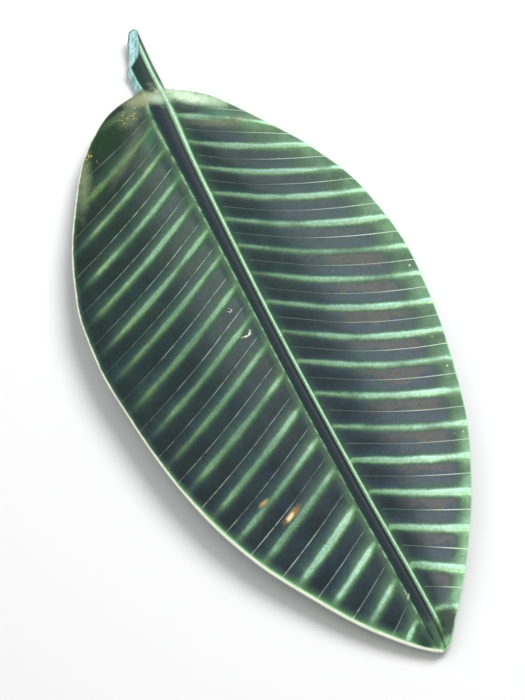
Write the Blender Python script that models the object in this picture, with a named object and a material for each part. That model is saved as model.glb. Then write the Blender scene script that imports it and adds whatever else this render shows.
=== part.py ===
# Banana-leaf dish in glazed ceramic, with a short curled stem: one fired piece.
# The leaf lies along Y with its stem towards +Y and its right half towards +X.
# Plan points are (x, s): x from the centre line, s from the stem joint towards the tip.

import math

import bmesh
import bpy
import numpy as np

MM = 0.001  # all sizes below are in millimetres
RIGHT, LEFT = 1, -1

# Blade in plan. A vein's number runs along the leaf: the broad veins are 0 to 16.
FIRST_ROW = -1.45
LAST_ROW = 16.95
LAST_VEIN = 16
TIP = 403.3

# Edge of the blade: s, then distance from the centre line
RIGHT_EDGE = [
    (1.5, 10), (10, 21.3), (21, 30.5), (36, 40), (64, 56.3), (89, 69.8), (134.5, 85.6),
    (180, 90.5), (218, 87.3), (256, 80.6), (295, 70.3), (332.5, 53.6), (370, 30.4),
    (388.5, 15.8), (397, 9.3), (400.5, 6.2),
]
LEFT_EDGE = [
    (-2, 9.5), (0.8, 20.5), (7.6, 33), (19.6, 44.2), (42, 62), (71, 77.4), (101, 90.7),
    (126, 98.4), (151, 103.7), (182, 104.8), (214, 101.4), (250.5, 95.6), (287, 86), (321, 71.4),
    (355, 49.3), (375, 34), (391, 18.4), (397.8, 10.4), (400.5, 6.4),
]

# Vein number, then the s of its root at the midrib and the s of its outer end
RIGHT_VEINS = [
    (FIRST_ROW, 1.5, 1.5), (-1.1, 8, 21), (-0.8, 13, 36), (0, 26, 64.5), (1, 48, 90),
    (2, 68.5, 114.5), (3, 89.5, 136), (4, 110.5, 159), (5, 131, 182), (6, 152, 202),
    (7, 173.5, 221), (8, 195.5, 240), (9, 217, 258), (10, 240, 277.5), (11, 263, 297),
    (12, 286, 314.5), (13, 307, 333), (14, 330, 351), (15, 354, 370), (16, 381, 385.5),
    (LAST_ROW, 402.4, 400.5),
]
LEFT_VEINS = [
    (FIRST_ROW, -2, -2), (-1.37, 0, 0.8), (-1.25, 2.5, 7.6), (-1.05, 7, 19.6), (0, 29, 78.5),
    (1, 48.5, 106.5), (2, 72, 133), (3, 93.5, 156), (4, 115, 177), (5, 135, 195.5),
    (6, 157.5, 216.5), (7, 180, 236), (8, 201, 254.5), (9, 223, 272.5), (10, 245.5, 291.5),
    (11, 267.5, 308.5), (12, 288, 325), (13, 313, 343.5), (14, 336, 360.5), (15, 359.5, 377.5),
    (16, 384, 392.5), (LAST_ROW, 402.4, 400.5),
]
HALF_WAY = {RIGHT: 0.02, LEFT: 0.075}  # how far past half way a thin line lies
RIGHT_SAG = [  # vein number, how far the middle of a right vein bends towards the tip
    (-1, 0), (0, -2.2), (1, -0.4), (2, 0.4), (5, 0.4), (8, 1.1), (10, -0.2), (12, -1), (15, -1.2),
    (LAST_VEIN, 0),
]

# Midrib: s, then the groove's centre, then its half width between the crests of its two lips
MIDRIB = [
    (-50, 0.3, 4.7), (-12, -0.1, 5.4), (0, 0.6, 5.2), (18, -0.9, 6.4), (70, -2.2, 4.9),
    (200, -3.1, 3.6), (300, -1.8, 3.6), (385, 0.6, 3.6), (TIP, 0.2, 2),
]
LIP_HEIGHT = {RIGHT: 1.5, LEFT: 1.1}  # right and left
LIP_SOFTNESS = 1.7
LIP_FOOT = 3.2  # from a lip's crest to where the veins start
LIP_END = (TIP - 16, TIP + 4)  # s over which the lips sink at the tip
LIP_SHARE = 0.66  # most of the blade's half width that the groove takes
FOOT_SHARE = 0.92
GROOVE_WALL = 0.6  # share of the groove's half width
GROOVE_POWER = 2.2
GROOVE_DEPTH = 1.6
SADDLE = (6.5, 8)  # the groove is filled round this s, over this reach

# Bowl
FLOOR_TOP = 6.5
RISE = {RIGHT: 18, LEFT: 15}
WIDEST = {RIGHT: 91.2, LEFT: 104.5}
FLAT_SHARE = 0.35  # of the half width, level before the side turns up
RISE_POWER = 1.6
RIM_THICKNESS = 2.4
THICKENING = 34  # distance from the rim at which the wall reaches the floor's thickness
EDGE_ROUND = 1.2
EDGE_DROP = 0.5
EDGE_UNDERCUT = 1.2

# Veins
VEIN_SPACING = 19  # square to the veins
VEIN_HEIGHT = 1.0
VEIN_WIDTH = 2.6
HAIRLINE_HEIGHT = 0.35
HAIRLINE_WIDTH = 0.7
VEIN_RANGE = (-0.6, LAST_VEIN + 0.4)
VEIN_START = 0.12  # share of the length over which a vein rises from the midrib
HAIRLINE_START = 0.05
LEFT_FADE = 0.8  # share of a left vein's length after which it sinks into the glaze
LEFT_END = 0.15  # height left at the margin

# Stem
STEM_SIDE = {RIGHT: 9.5, LEFT: 8.2}
STEM_LENGTH = 48
STEM_LIFT = 11
# The stem is cut off slantwise: x, then s where its upper face and its underside end
TOP_CUT = [(-8.2, -16.5), (-5.2, -19.5), (5.2, -28), (9.5, -41)]
UNDER_CUT = [(-8.2, -17.5), (-3.1, -29), (0, -38.5), (4, -46), (9.5, -47.8)]
STEM_SIDE_SLOPE = 3.4
STEM_SIDE_DROP = 3.6
STEM_SIDE_POWER = 1.5
STEM_LIFT_POWER = 1.5
STEM_DRAW_IN = 4
STEM_TO_BLADE = (-5, 30)  # s over which the stem's section turns into the blade's

VEIN_ROWS = (-0.18, -0.09, 0, 0.09, 0.18, 0.463, 0.5, 0.537)
BASE_ROWS = (-1.42, -1.38, -1.33, -1.27, -1.2, -1.1, -1, -0.85, -0.7, -0.537, -0.5, -0.463, -0.32)
TIP_ROWS = (16.35, 16.6, 16.8, LAST_ROW)
STEM_ROWS = (1, 0.9, 0.72, 0.52, 0.33, 0.15)
HALF_STEPS = (0.14, 0.32, 0.5, 0.68, 0.84, 0.95, 1)
UNDER_STEPS = (0.3, 0.6, 0.85, 1)


def clear_scene():
    for old in list(bpy.data.objects):
        bpy.data.objects.remove(old, do_unlink=True)


def eased(value, start=0, end=1):
    value = min(max((value - start) / (end - start), 0), 1)
    return value * value * (3 - 2 * value)


def through(stations, column, at):
    """Curve with no overshoot through the stations, read at one place."""
    xs = [station[0] for station in stations]
    ys = [station[column] for station in stations]
    slopes = [(ys[i + 1] - ys[i]) / (xs[i + 1] - xs[i]) for i in range(len(xs) - 1)]
    tangents = [slopes[0]]
    for before, after in zip(slopes, slopes[1:]):
        tangents.append(2 * before * after / (before + after) if before * after > 0 else 0)
    tangents.append(slopes[-1])
    at = min(max(at, xs[0]), xs[-1])
    i = min(np.searchsorted(xs, at, side="right") - 1, len(xs) - 2)
    width = xs[i + 1] - xs[i]
    t = (at - xs[i]) / width
    return (
        ys[i] * (1 + 2 * t) * (1 - t) ** 2
        + tangents[i] * width * t * (1 - t) ** 2
        + ys[i + 1] * t * t * (3 - 2 * t)
        + tangents[i + 1] * width * t * t * (t - 1)
    )


def numbered(side, vein):
    """Place of a row between its veins; the thin lines lie a little past half way."""
    if vein < -1:
        return vein
    return vein + HALF_WAY[side] * math.sin(math.pi * vein) ** 2


def root_s(side, vein):
    return through(RIGHT_VEINS if side == RIGHT else LEFT_VEINS, 1, numbered(side, vein))


def edge_x(side, s):
    return side * through(RIGHT_EDGE if side == RIGHT else LEFT_EDGE, 1, s)


def margin(side, vein):
    s = through(RIGHT_VEINS if side == RIGHT else LEFT_VEINS, 2, numbered(side, vein))
    return edge_x(side, s), s


def midrib_x(s):
    return through(MIDRIB, 1, s)


def lip_half(s, room):
    """Half the groove's width, kept inside the blade near the tip."""
    return min(through(MIDRIB, 2, s), LIP_SHARE * room)


def strip_offsets(s, room):
    """Places across the midrib, from its left foot to its right foot."""
    lip = lip_half(s, room)
    foot = min(lip + LIP_FOOT, FOOT_SHARE * room)
    shoulder = 0.5 * (lip + foot)
    wall = GROOVE_WALL * lip
    return [-foot, -shoulder, -lip, -wall, 0, wall, lip, shoulder, foot]


def blade_row(vein, under=False):
    """Plan points of one row, from the left margin over the midrib to the right margin."""
    ends = {side: margin(side, vein) for side in (LEFT, RIGHT)}
    roots = {side: root_s(side, vein) for side in (LEFT, RIGHT)}
    middle_s = 0.5 * (roots[LEFT] + roots[RIGHT])
    skew = 0.5 * (roots[RIGHT] - roots[LEFT])
    middle = midrib_x(middle_s)
    room = min(abs(ends[side][0] - middle) for side in (LEFT, RIGHT))
    offsets = strip_offsets(middle_s, room)
    strip = [(middle + offset, middle_s + skew * offset / offsets[-1]) for offset in offsets]
    if under:
        strip = [(middle, middle_s)]
    steps = UNDER_STEPS if under else HALF_STEPS
    halves = {}
    for side in (LEFT, RIGHT):
        x0, s0 = strip[0] if side == LEFT else strip[-1]
        x1, s1 = ends[side]
        sag = 4 * through(RIGHT_SAG, 1, vein) if side == RIGHT else 0
        halves[side] = [
            (x0 + t * (x1 - x0), s0 + t * (s1 - s0) + sag * t * (1 - t)) for t in steps
        ]
    return rounded(halves[LEFT][::-1] + strip + halves[RIGHT], vein)


def rounded(row, vein):
    """The last rows bend into the tip's round end."""
    share = eased(vein, LAST_VEIN, LAST_ROW)
    ahead = TIP + root_s(RIGHT, vein) - root_s(RIGHT, LAST_ROW)
    bent = []
    for x, s in row:
        reach, back = row[0] if x < 0 else row[-1]
        arc = back + (ahead - back) * (1 - (x / reach) ** 2)
        bent.append((x, s + share * (arc - s)))
    return bent


def stem_end(under=False):
    offsets = [0] if under else strip_offsets(-STEM_LENGTH, STEM_SIDE[LEFT])
    xs = [midrib_x(-STEM_LENGTH) + offset for offset in offsets]
    steps = UNDER_STEPS if under else HALF_STEPS
    left = [xs[0] + t * (-STEM_SIDE[LEFT] - xs[0]) for t in steps]
    right = [xs[-1] + t * (STEM_SIDE[RIGHT] - xs[-1]) for t in steps]
    cut = np.array(UNDER_CUT if under else TOP_CUT)
    return [(x, np.interp(x, cut[:, 0], cut[:, 1])) for x in left[::-1] + xs + right]


def stem_rows(under=False):
    """Rows from the stem's end to the blade's first row; its sides draw in early."""
    neck = blade_row(FIRST_ROW, under)
    end = stem_end(under)
    rows = []
    for share in STEM_ROWS:
        narrowing = 1 - (1 - share) ** STEM_DRAW_IN
        rows.append([
            (a[0] + narrowing * (b[0] - a[0]), a[1] + share * (b[1] - a[1]))
            for a, b in zip(neck, end)
        ])
    return rows


def outline():
    """Both margins and the stem's sides as one open line round the tip."""
    veins = np.linspace(FIRST_ROW, LAST_ROW, 260)
    right = [margin(RIGHT, vein) for vein in veins]
    left = [margin(LEFT, vein) for vein in veins]
    reach, back = right[-1]
    tip = [(x, back + (TIP - back) * (1 - (x / reach) ** 2)) for x in np.linspace(5, -5, 9)]
    stem = [[(side * STEM_SIDE[side], s) for s in (-STEM_LENGTH, -8)] for side in (RIGHT, LEFT)]
    return np.array(stem[0] + right + tip + left[::-1] + stem[1][::-1])


OUTLINE = outline()
HALVES = {side: OUTLINE[OUTLINE[:, 0] * side >= 0] for side in (RIGHT, LEFT)}
HALVES = {side: half[np.argsort(half[:, 1])] for side, half in HALVES.items()}


def rim_distance(x, s):
    start = OUTLINE[:-1]
    run = OUTLINE[1:] - start
    offset = np.array([x, s]) - start
    share = np.clip((offset * run).sum(1) / (run * run).sum(1), 0, 1)
    return np.linalg.norm(offset - share[:, None] * run, axis=1).min()


def half_width(side, s):
    return np.interp(s, HALVES[side][:, 1], abs(HALVES[side][:, 0]))


def bowl(x, s):
    """How far the blade's side has turned up here."""
    side = RIGHT if x > 0 else LEFT
    width = half_width(side, s)
    share = max(abs(x) / max(width, 1) - FLAT_SHARE, 0) / (1 - FLAT_SHARE)
    return RISE[side] * width / WIDEST[side] * min(share, 1) ** RISE_POWER


def blade_share(s):
    return eased(s, *STEM_TO_BLADE)


def stem_lift(s):
    return STEM_LIFT * (max(-s, 0) / STEM_LENGTH) ** STEM_LIFT_POWER


def midrib_relief(x, s, room):
    offset = x - midrib_x(s)
    side = RIGHT if offset > 0 else LEFT
    lip = lip_half(s, room)
    crest = LIP_HEIGHT[side] * (1 - eased(s, *LIP_END))
    across = abs(offset) / lip
    if across < 1:
        middle, reach = SADDLE
        filled = math.exp(-(((s - middle) / reach) ** 4))
        depth = crest + GROOVE_DEPTH * (1 - filled)
        return crest - depth * (1 - across**GROOVE_POWER)
    return crest * math.exp(-(((abs(offset) - lip) / LIP_SOFTNESS) ** 2))


def vein_relief(x, vein, along):
    """Broad vein on each whole number, thin raised line half way between two of them."""
    if not VEIN_RANGE[0] < vein < VEIN_RANGE[1]:
        return 0
    height = VEIN_HEIGHT * eased(along, 0, VEIN_START)
    if x < 0:
        height *= 1 - (1 - LEFT_END) * eased(along, LEFT_FADE, 1)
    away = (vein - max(round(vein), 0)) * VEIN_SPACING
    broad = height * math.exp(-((away / VEIN_WIDTH) ** 2))
    thin = max(1 - abs(vein - math.floor(vein) - 0.5) * VEIN_SPACING / HAIRLINE_WIDTH, 0)
    return broad + HAIRLINE_HEIGHT * thin * eased(along, 0, HAIRLINE_START)


def top_z(x, s, vein, along, room):
    share = blade_share(s)
    distance = rim_distance(x, s)
    edge = share * EDGE_DROP * max(1 - distance / EDGE_ROUND, 0) ** 2
    side_share = max(1 - distance / STEM_SIDE_SLOPE, 0)
    edge += (1 - share) * STEM_SIDE_DROP * side_share**STEM_SIDE_POWER
    relief = midrib_relief(x, s, room) + vein_relief(x, vein, along)
    return FLOOR_TOP + share * bowl(x, s) + stem_lift(s) + relief - edge


def under_z(x, s):
    share = blade_share(s)
    distance = rim_distance(x, s)
    thinning = (FLOOR_TOP - RIM_THICKNESS) * (1 - eased(distance, 0, THICKENING))
    return share * (bowl(x, s) + thinning) + stem_lift(s)


def top_rows():
    """Every row with its vein number, from the stem's end to the tip."""
    veins = [FIRST_ROW] + list(BASE_ROWS)
    veins += [n + part for n in range(LAST_VEIN + 1) for part in VEIN_ROWS]
    veins = [vein for vein in veins if vein < TIP_ROWS[0]] + list(TIP_ROWS)
    return [(FIRST_ROW, row) for row in stem_rows()] + [(vein, blade_row(vein)) for vein in veins]


def under_rows():
    """Fewer rows and columns than above."""
    veins = [FIRST_ROW] + [vein for vein in BASE_ROWS if vein < VEIN_RANGE[0]]
    veins += [0.5 * n for n in range(-1, 2 * LAST_VEIN + 1)] + list(TIP_ROWS)
    return stem_rows(under=True) + [blade_row(vein, under=True) for vein in veins]


def drawn_in(row, amount):
    """The row with its two outer points moved inwards."""
    row = list(row)
    for end, inner in ((0, 1), (-1, -2)):
        run = np.subtract(row[inner], row[end])
        row[end] = tuple(np.add(row[end], run * min(amount / np.linalg.norm(run), 0.5)))
    return row


def zip_edge(mesh, first, second):
    """Triangles between two runs of points that start and end side by side."""
    def shares(run):
        steps = [(b.co - a.co).length for a, b in zip(run, run[1:])]
        return [0] + list(np.cumsum(steps) / sum(steps))
    a, b = shares(first), shares(second)
    i = j = 0
    while i < len(first) - 1 or j < len(second) - 1:
        if j == len(second) - 1 or (i < len(first) - 1 and a[i + 1] <= b[j + 1]):
            mesh.faces.new((first[i], first[i + 1], second[j]))
            i += 1
        else:
            mesh.faces.new((first[i], second[j + 1], second[j]))
            j += 1


def grid(mesh, rows):
    for row, following in zip(rows, rows[1:]):
        for i in range(len(row) - 1):
            mesh.faces.new((row[i], row[i + 1], following[i + 1], following[i]))


def leaf_mesh():
    mesh = bmesh.new()
    top = []
    steps = len(HALF_STEPS)
    for vein, row in top_rows():
        room = min(abs(row[0][0]), abs(row[-1][0]))
        line = []
        for i, (x, s) in enumerate(row):
            outward = max(steps - i, i - (len(row) - 1 - steps), 0)
            along = HALF_STEPS[outward - 1] if outward else 0
            line.append(mesh.verts.new((x, -s, top_z(x, s, vein, along, room))))
        top.append(line)
    under = []
    for row in under_rows():
        row = drawn_in(row, EDGE_UNDERCUT)
        under.append([mesh.verts.new((x, -s, under_z(x, s))) for x, s in row])
    grid(mesh, top)
    grid(mesh, under)
    zip_edge(mesh, [line[0] for line in top], [line[0] for line in under])
    zip_edge(mesh, [line[-1] for line in top], [line[-1] for line in under])
    zip_edge(mesh, top[0], under[0])
    zip_edge(mesh, top[-1], under[-1])
    bmesh.ops.triangulate(mesh, faces=mesh.faces)
    bmesh.ops.recalc_face_normals(mesh, faces=mesh.faces)
    return mesh


def centred(mesh):
    """Metres, with the middle of the length and width at the origin and the base at zero."""
    points = np.array([vertex.co for vertex in mesh.verts])
    middle = 0.5 * (points.min(0) + points.max(0))
    for vertex in mesh.verts:
        vertex.co.x = (vertex.co.x - middle[0]) * MM
        vertex.co.y = (vertex.co.y - middle[1]) * MM
        vertex.co.z *= MM


def glaze():
    material = bpy.data.materials.new("green_glaze")
    material.use_nodes = True
    shader = material.node_tree.nodes["Principled BSDF"]
    shader.inputs["Base Color"].default_value = (0.035, 0.12, 0.08, 1)
    shader.inputs["Roughness"].default_value = 0.15
    shader.inputs["Metallic"].default_value = 0
    return material


def leaf_dish():
    mesh = leaf_mesh()
    centred(mesh)
    data = bpy.data.meshes.new("leaf_dish")
    mesh.to_mesh(data)
    mesh.free()
    data.materials.append(glaze())
    data.shade_smooth()
    data.set_sharp_from_angle(angle=math.radians(40))
    dish = bpy.data.objects.new("leaf_dish", data)
    bpy.context.scene.collection.objects.link(dish)


clear_scene()
leaf_dish()
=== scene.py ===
import math

import bmesh
import bpy
import numpy as np
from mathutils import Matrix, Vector


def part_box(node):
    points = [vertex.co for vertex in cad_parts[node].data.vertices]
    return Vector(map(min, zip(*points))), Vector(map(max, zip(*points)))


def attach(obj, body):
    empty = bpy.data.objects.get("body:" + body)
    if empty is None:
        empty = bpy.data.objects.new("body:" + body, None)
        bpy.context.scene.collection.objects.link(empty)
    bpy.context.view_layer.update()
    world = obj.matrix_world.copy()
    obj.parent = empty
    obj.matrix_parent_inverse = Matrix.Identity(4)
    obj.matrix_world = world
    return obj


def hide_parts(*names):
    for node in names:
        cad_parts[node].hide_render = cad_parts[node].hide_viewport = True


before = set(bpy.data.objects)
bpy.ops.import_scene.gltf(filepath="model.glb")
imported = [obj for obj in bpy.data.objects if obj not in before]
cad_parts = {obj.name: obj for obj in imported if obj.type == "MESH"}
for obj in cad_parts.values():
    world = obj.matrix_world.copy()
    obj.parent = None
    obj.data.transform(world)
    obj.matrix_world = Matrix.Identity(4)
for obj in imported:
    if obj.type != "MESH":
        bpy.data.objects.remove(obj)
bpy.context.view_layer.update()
print("frame loaded")

mm = 0.001
right, left = 1, -1

# Sizes in millimetres. Plan points are (x, s): x from the centre line, right half positive,
# and s from the stem joint towards the tip. Broad veins carry the numbers 0 to 16.
leafDish = {
    "firstRow": -1.45,
    "lastRow": 16.95,
    "lastVein": 16,
    "tip": 403.3,
    "edge": {  # s, then distance from the centre line
        right: [
            (1.5, 10), (10, 21.3), (21, 30.5), (36, 40), (64, 56.3), (89, 69.8), (134.5, 85.5),
            (180, 90.4), (218, 87.3), (256, 80.6), (295, 70.3), (332.5, 53.6), (370, 30.4),
            (388.5, 15.8), (397, 9.3), (400.5, 6.2),
        ],
        left: [
            (-2, 9.5), (0.8, 20.5), (7.6, 33), (19.6, 44.2), (42, 62), (71, 77.4), (101, 90.7),
            (126, 98.4), (151, 103.6), (182, 104.7), (214, 101.4), (250.5, 95.6), (287, 86),
            (321, 71.4), (355, 49.3), (375, 34), (391, 18.4), (397.8, 10.4), (400.5, 6.4),
        ],
    },
    "veins": {  # number, then s of the root at the midrib and s of the outer end
        right: [
            (-1.45, 1.5, 1.5), (-1.1, 8, 21), (-0.8, 13, 36), (0, 26, 64.5), (1, 48, 90),
            (2, 68.5, 114.5), (3, 89.5, 136), (4, 110.5, 159), (5, 131, 182), (6, 152, 202),
            (7, 173.5, 221), (8, 195.5, 240), (9, 217, 258), (10, 240, 277.5), (11, 263, 297),
            (12, 286, 314.5), (13, 307, 333), (14, 330, 351), (15, 354, 370), (16, 381, 385.5),
            (16.95, 402.4, 400.5),
        ],
        left: [
            (-1.45, -2, -2), (-1.37, 0, 0.8), (-1.25, 2.5, 7.6), (-1.05, 7, 19.6), (0, 29, 78.5),
            (1, 48.5, 106.5), (2, 72, 133), (3, 93.5, 156), (4, 115, 177), (5, 135, 195.5),
            (6, 157.5, 216.5), (7, 180, 236), (8, 201, 254.5), (9, 223, 272.5), (10, 245.5, 291.5),
            (11, 267.5, 308.5), (12, 288, 325), (13, 313, 343.5), (14, 336, 360.5),
            (15, 359.5, 377.5), (16, 384, 392.5), (16.95, 402.4, 400.5),
        ],
    },
    "halfWay": {right: 0.02, left: 0.075},  # how far past half way a thin line lies
    "sag": {  # number, how far the middle of a vein bends towards the tip
        right: [
            (-1, 0), (0, -2.2), (1, -0.4), (2, 0.4), (5, 0.4), (8, 1.1), (10, -0.2), (12, -1),
            (15, -1.2), (16, 0),
        ],
        left: [(-1, 0), (16, 0)],
    },
    "midrib": [  # s, centre of the groove, half width between its two lips
        (-50, 0.3, 4.7), (-12, -0.1, 5.4), (0, 0.6, 5.2), (18, -0.9, 6.4), (70, -2.2, 4.9),
        (200, -3.1, 3.6), (300, -1.8, 3.6), (385, 0.6, 3.6), (403.3, 0.2, 2),
    ],
    "lipHeight": {right: 1.4, left: 0.8},
    "lipSoftness": 1.7,
    "lipFoot": 3.2,
    "lipEnd": (387.3, 407.3),  # s over which the lips sink at the tip
    "lipShare": 0.66,
    "footShare": 0.92,
    "grooveDepth": 1.6,
    "groovePower": 4,
    "saddle": (6.5, 8),  # s round which the groove is filled, and over what reach
    "floorTop": 6.5,
    "rise": {right: 18, left: 15},
    "widest": {right: 91.2, left: 104.5},
    "flatShare": 0.35,
    "risePower": 1.6,
    "rimThickness": 2.4,
    "thickening": 34,
    "edgeRound": 1.3,
    "edgePower": 2.0,  # how full the rounded edge is
    "stemRound": 3.4,
    "stemPower": 2.6,
    "stemSide": {right: 9.5, left: 8.2},
    "stemLength": 48,
    "stemLift": 11,
    "stemLiftPower": 1.5,
    "stemRows": 34,
    "neckPower": 4,  # how soon the blade narrows to the stem
    "stemDrop": 1.6,  # how far the stem's shoulders sink beside its lips
    "shoulder": (6, 1.5),  # over what distance from the edge, and with what power
    "stemToBlade": (-5, 30),
    # The stem is cut off slantwise: x, then s where its upper face and its underside end
    "topCut": [(-8.2, -18.5), (-5.2, -19.5), (5.2, -28), (9.5, -44.5)],
    "underCut": [(-8.2, -18.5), (-3.1, -29), (0, -38.5), (4, -46), (8, -47.4), (9.5, -44.5)],
    "cutHollow": 0.5,
    "veinSpacing": 19.0,
    "veinHeight": 0.8,
    "gentleSide": 3.8,  # width of a broad vein's slope towards the stem
    "steepSide": 1.9,  # and towards the tip
    "hairlineHeight": 0.35,
    "hairlineWidth": 0.55,
    "unevenness": 0.16,
    "heightChance": (0.85, 1.1),  # one drawn share of the height for each vein
    "leftEndSinks": 0.85,  # how much of a left vein's height is lost at the margin
    "veinNoises": {  # scale, detail
        "waves": (45.0, 2.0), "breaks": (28.0, 1.0), "slow": (22.0, 2.0),
    },
    "veinRamps": {  # from and to, and the two results where they aren't 0 and 1
        "rightHalf": (-0.5, 0.5),
        "start": (-0.62, -0.4),  # vein numbers
        "end": (16.45, 16.3),
        "leftEndAtTip": (4.0, 12.0, 1.0, 0.7),
        "rightRoot": (0.98, 1.7),  # half widths of the groove from the midrib's middle
        "leftRoot": (-1.05, -1.5),
        "leftRootRise": (-1.2, -3.6, 0.6, 1.0),
        "leftEnd": (0.74, 0.99),  # share of the way to the margin
        "lineStart": (0.0, 0.04),
        "waves": (0.25, 0.7, 0.65, 1.1),  # values of a noise
        "breaks": (0.32, 0.6, 0.35, 1.0),
        "rim": (0.0, 3.0, 0.0, mm),  # millimetres from the rim; the result turns them into metres
    },
    "seed": 4,
    "sharpAngle": 55,
}


def eased(value, start=0.0, end=1.0):
    value = np.clip((value - start) / (end - start), 0, 1)
    return value * value * (3 - 2 * value)


def curveThrough(stations, column, at):  # smooth, with no overshoot between stations
    xs = np.array([row[0] for row in stations], float)
    ys = np.array([row[column] for row in stations], float)
    slopes = np.diff(ys) / np.diff(xs)
    before, after = slopes[:-1], slopes[1:]
    level = before * after <= 0
    inner = np.where(level, 0, 2 * before * after / np.where(level, 1, before + after))
    tangents = np.concatenate([slopes[:1], inner, slopes[-1:]])
    at = np.clip(at, xs[0], xs[-1])
    i = np.clip(np.searchsorted(xs, at, side="right") - 1, 0, len(xs) - 2)
    width = xs[i + 1] - xs[i]
    t = (at - xs[i]) / width
    return (
        ys[i] * (1 + 2 * t) * (1 - t) ** 2
        + tangents[i] * width * t * (1 - t) ** 2
        + ys[i + 1] * t * t * (3 - 2 * t)
        + tangents[i + 1] * width * t * t * (t - 1)
    )


def numbered(side, vein):
    return vein + leafDish["halfWay"][side] * math.sin(math.pi * vein) ** 2 * (vein > -1)


def marginPoint(side, vein):
    s = curveThrough(leafDish["veins"][side], 2, numbered(side, vein))
    return np.array([side * curveThrough(leafDish["edge"][side], 1, s), s])


def rootS(side, vein):
    return curveThrough(leafDish["veins"][side], 1, numbered(side, vein))


def lipHalf(s, room):
    return np.minimum(curveThrough(leafDish["midrib"], 2, s), leafDish["lipShare"] * room)


# Where the columns stand: shares of the groove, then distances outside its lip's crest
insideGroove = (0.0, 0.25, 0.45, 0.6, 0.72, 0.82, 0.9, 0.96, 1.0)
outsideLip = (0.2, 0.45, 0.75, 1.1, 1.6, 2.3, 3.2)
rimShares = (0.7, 0.45, 0.25, 0.1, 0.02, 0.0)
halfSteps = [0.5 * t + 0.25 * (1 - math.cos(math.pi * t)) for t in np.linspace(0, 1, 33)[1:]]
underSteps = [0.12, 0.25, 0.38, 0.5, 0.62, 0.72, 0.81, 0.88, 0.94, 1.0]


def midribOffsets(s, room):
    lip = float(lipHalf(s, room))
    foot = min(lip + leafDish["lipFoot"], leafDish["footShare"] * room)
    reach = (foot - lip) / outsideLip[-1]
    half = [share * lip for share in insideGroove[1:]] + [lip + reach * out for out in outsideLip]
    return [-offset for offset in half[::-1]] + [0.0] + half


def outwards(foot, end, tangent, steps, sag):  # plan points from the midrib to the margin
    run = end - foot
    length = np.linalg.norm(run)
    turn = abs(run[0] * tangent[1] - run[1] * tangent[0]) / (length * np.linalg.norm(tangent))
    leastTurn, longest = 0.3, 0.4  # keep the edge's rows inside a narrow section
    reach = min(leafDish["edgeRound"] / max(turn, leastTurn), longest * length)
    places = [(length - reach) * t for t in steps] + [length - reach * k for k in rimShares]
    shares = [place / length for place in places]
    return [foot + run * t + np.array([0, 4 * sag * t * (1 - t)]) for t in shares], shares


def wholeRow(middle, offsets, skew, ends, tangents, sags):  # a section's upper and lower line
    strip = [np.array([middle[0] + o, middle[1] + skew * o / offsets[-1]]) for o in offsets]
    upper, along, lower = {}, {}, {}
    for side in (left, right):
        foot = strip[0] if side == left else strip[-1]
        end, tangent, sag = ends[side], tangents[side], sags[side]
        upper[side], along[side] = outwards(foot, end, tangent, halfSteps, sag)
        lower[side], _ = outwards(np.array(middle), end, tangent, underSteps, sag)
    top = upper[left][::-1] + strip + upper[right]
    shares = along[left][::-1] + [0.0] * len(strip) + along[right]
    under = lower[left][::-1] + [np.array(middle)] + lower[right]
    return np.array(top), np.array(shares), np.array(under)


def roundedTip(points, vein, ends):  # the last rows bend into the tip's round end
    share = eased(vein, leafDish["lastVein"], leafDish["lastRow"])
    ahead = leafDish["tip"] + rootS(right, vein) - rootS(right, leafDish["lastRow"])
    bent = points.copy()
    for side in (left, right):
        half = points[:, 0] * side >= 0
        reach, back = ends[side]
        arc = back + (ahead - back) * (1 - (points[half, 0] / reach) ** 2)
        bent[half, 1] += share * (arc - points[half, 1])
    return bent


def bladeRow(vein):
    ends = {side: marginPoint(side, vein) for side in (left, right)}
    step = 0.04  # of a vein, to both sides
    tangents = {
        side: marginPoint(side, vein + step) - marginPoint(side, vein - step)
        for side in (left, right)
    }
    roots = {side: rootS(side, vein) for side in (left, right)}
    sags = {side: curveThrough(leafDish["sag"][side], 1, vein) for side in (left, right)}
    middleS = 0.5 * (roots[left] + roots[right])
    middle = (float(curveThrough(leafDish["midrib"], 1, middleS)), middleS)
    room = min(abs(ends[side][0] - middle[0]) for side in (left, right))
    skew = 0.5 * (roots[right] - roots[left])
    offsets = midribOffsets(middleS, room)
    top, shares, under = wholeRow(middle, offsets, skew, ends, tangents, sags)
    return roundedTip(top, vein, ends), shares, roundedTip(under, vein, ends)


def cutLine(name, points):
    line = np.array(leafDish[name], float)
    return np.interp(points[:, 0], line[:, 0], line[:, 1])


def stemEnd():  # the stem's last section, cut off slantwise
    length = leafDish["stemLength"]
    middle = (float(curveThrough(leafDish["midrib"], 1, -length)), 0.0)
    ends = {side: np.array([side * leafDish["stemSide"][side], 0.0]) for side in (left, right)}
    tangents = {side: np.array([0.0, 1.0]) for side in (left, right)}
    lip = float(lipHalf(-length, leafDish["stemSide"][left]))
    shoulder = 0.5  # what is left of the stem's top outside its lips
    offsets = midribOffsets(-length, (lip + shoulder) / leafDish["footShare"])
    top, shares, under = wholeRow(middle, offsets, 0.0, ends, tangents, {left: 0.0, right: 0.0})
    top[:, 1] = cutLine("topCut", top)
    under[:, 1] = cutLine("underCut", under)
    return top, shares, under


def stemRows():
    neckTop, neckShares, neckUnder = bladeRow(leafDish["firstRow"])
    endTop, _, endUnder = stemEnd()
    rows = []
    for share in np.linspace(1, 0, leafDish["stemRows"])[:-1]:
        narrowing = 1 - (1 - share) ** leafDish["neckPower"]
        rows.append([
            np.stack([
                neck[:, 0] + narrowing * (end[:, 0] - neck[:, 0]),
                neck[:, 1] + share * (end[:, 1] - neck[:, 1]),
            ], axis=1)
            for neck, end in ((neckTop, endTop), (neckUnder, endUnder))
        ])
    return [(top, neckShares, under) for top, under in rows]


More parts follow.
